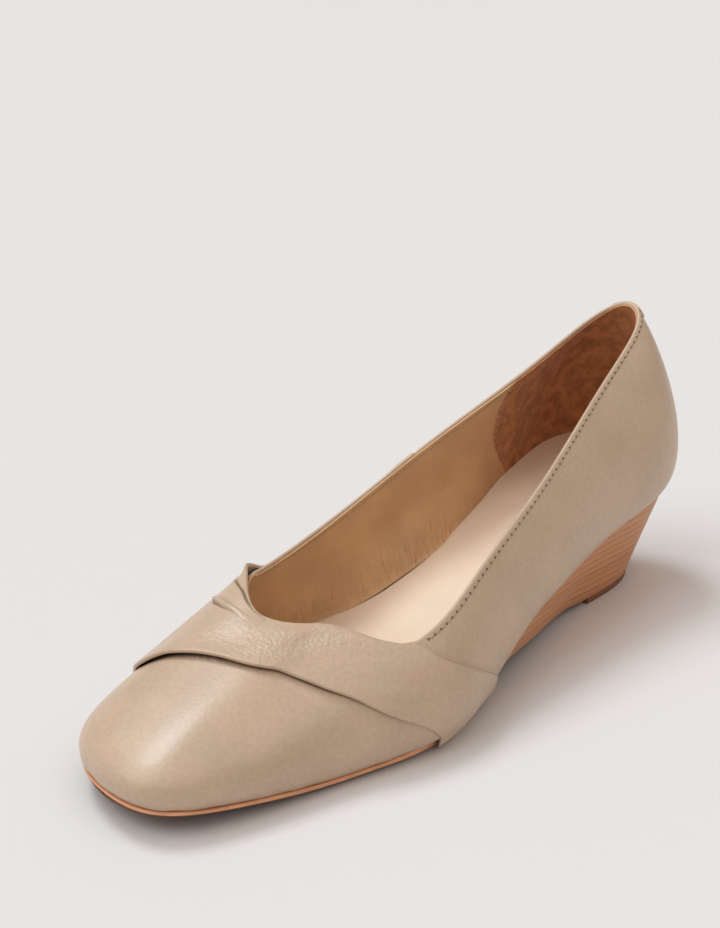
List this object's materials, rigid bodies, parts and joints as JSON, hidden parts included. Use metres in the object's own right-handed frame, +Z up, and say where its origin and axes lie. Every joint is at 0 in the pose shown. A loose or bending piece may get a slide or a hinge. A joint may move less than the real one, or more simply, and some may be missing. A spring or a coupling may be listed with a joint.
{
  "type": "wedge pump shoe",
  "caption": "Low wedge pump with a square-ish toe, a pleated leather band over the vamp and a stacked wood-look wedge.",
  "frame": {"origin": "middle of the shoe's outline seen from above, on the floor", "axes": "+X towards the toe, +Y towards the wearer's left, which is the outer side of this left shoe, +Z up"},
  "size_m": [0.2518, 0.0902, 0.0982],
  "materials": {
    "leather_taupe": "smooth fine-grain calf leather, satin",
    "leather_band": "smooth fine-grain calf leather, satin",
    "leather_tab": "smooth fine-grain calf leather, satin",
    "sock_beige": "matt smooth lining leather",
    "sole_tan": "waxed tan sole edge",
    "stacked_wood": "satin stacked layers with thin darker lines",
    "lift_brown": "matt"
  },
  "bodies": {
    "root": {"upper": "leather_taupe", "vamp_band": "leather_band", "heel_tab": "leather_tab", "insole": "sock_beige", "outsole": "sole_tan", "wedge": "stacked_wood", "top_piece": "lift_brown"}
  },
  "joints": []
}
